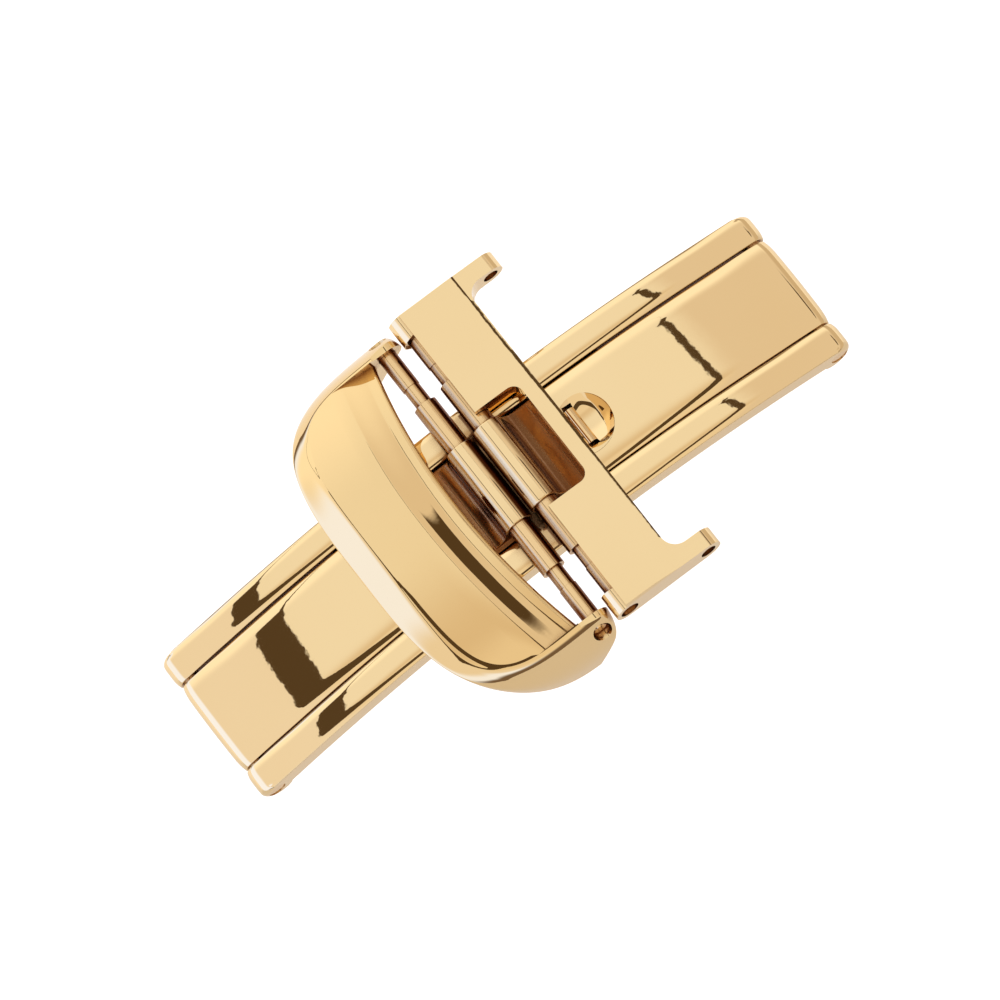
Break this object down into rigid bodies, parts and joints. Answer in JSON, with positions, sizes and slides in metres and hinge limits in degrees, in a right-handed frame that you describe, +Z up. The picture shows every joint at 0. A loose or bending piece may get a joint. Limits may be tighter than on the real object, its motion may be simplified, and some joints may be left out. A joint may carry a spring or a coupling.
{
  "type": "deployant clasp",
  "caption": "Double-folding deployant clasp in polished gold tone: bowed frame, two folding blades, domed strap cover and horned strap bracket on spring bars.",
  "frame": {"origin": "on the table under the middle of the clasp, midway between the two end knuckles", "axes": "+X along the clasp from the cover's end to the bracket's end, +Y across the strap, +Z up and away from the wrist"},
  "size_m": [0.0392, 0.021, 0.008],
  "materials": {
    "polished_gold": "polished",
    "gold_bars": "polished",
    "spring_steel": "satin"
  },
  "bodies": {
    "base": {"base_frame": "polished_gold", "left_hinge_pin": "spring_steel", "right_hinge_pin": "spring_steel", "left_catch": "gold_bars", "right_catch": "gold_bars"},
    "left_wing": {"left_blade": "polished_gold", "left_catch_cup": "gold_bars", "cover_bar_tube": "gold_bars", "cover_bar_spring": "spring_steel"},
    "right_wing": {"right_blade": "polished_gold", "right_catch_cup": "gold_bars", "bracket_bar_tube": "gold_bars", "bracket_bar_spring": "spring_steel"},
    "cover": {"buckle_cover": "polished_gold", "strap_post": "gold_bars"},
    "bracket": {"lug_bracket": "polished_gold"},
    "cover_bar_near_tip": {"cover_bar_near_tip": "gold_bars"},
    "cover_bar_far_tip": {"cover_bar_far_tip": "gold_bars"},
    "bracket_bar_near_tip": {"bracket_bar_near_tip": "gold_bars"},
    "bracket_bar_far_tip": {"bracket_bar_far_tip": "gold_bars"}
  },
  "joints": [
    {"name": "left_wing_hinge", "type": "hinge", "parent": "base", "child": "left_wing", "pos_m": [-0.01875, 0, 0.00085], "axis": [0, -1, 0], "range_deg": [0, 165], "deforming": ["left_catch"]},
    {"name": "right_wing_hinge", "type": "hinge", "parent": "base", "child": "right_wing", "pos_m": [0.01875, 0, 0.00085], "axis": [0, 1, 0], "range_deg": [0, 165], "deforming": ["right_catch"]},
    {"name": "cover_pivot", "type": "hinge", "parent": "left_wing", "child": "cover", "pos_m": [-0.00025, 0, 0.00557], "axis": [0, 1, 0], "range_deg": [-3, 70]},
    {"name": "bracket_pivot", "type": "hinge", "parent": "right_wing", "child": "bracket", "pos_m": [0.00155, 0, 0.0061], "axis": [0, -1, 0], "range_deg": [-12, 45]},
    {"name": "cover_bar_near_tip_slide", "type": "slide", "parent": "left_wing", "child": "cover_bar_near_tip", "axis": [0, 1, 0], "range_m": [0, 0.0012], "stiffness_N_per_m": 300, "springref_m": -0.002, "deforming": ["cover_bar_spring"]},
    {"name": "cover_bar_far_tip_slide", "type": "slide", "parent": "left_wing", "child": "cover_bar_far_tip", "axis": [0, -1, 0], "range_m": [0, 0.0012], "stiffness_N_per_m": 300, "springref_m": -0.002, "deforming": ["cover_bar_spring"]},
    {"name": "bracket_bar_near_tip_slide", "type": "slide", "parent": "right_wing", "child": "bracket_bar_near_tip", "axis": [0, 1, 0], "range_m": [0, 0.0012], "stiffness_N_per_m": 300, "springref_m": -0.002, "deforming": ["bracket_bar_spring"]},
    {"name": "bracket_bar_far_tip_slide", "type": "slide", "parent": "right_wing", "child": "bracket_bar_far_tip", "axis": [0, -1, 0], "range_m": [0, 0.0012], "stiffness_N_per_m": 300, "springref_m": -0.002, "deforming": ["bracket_bar_spring"]}
  ]
}
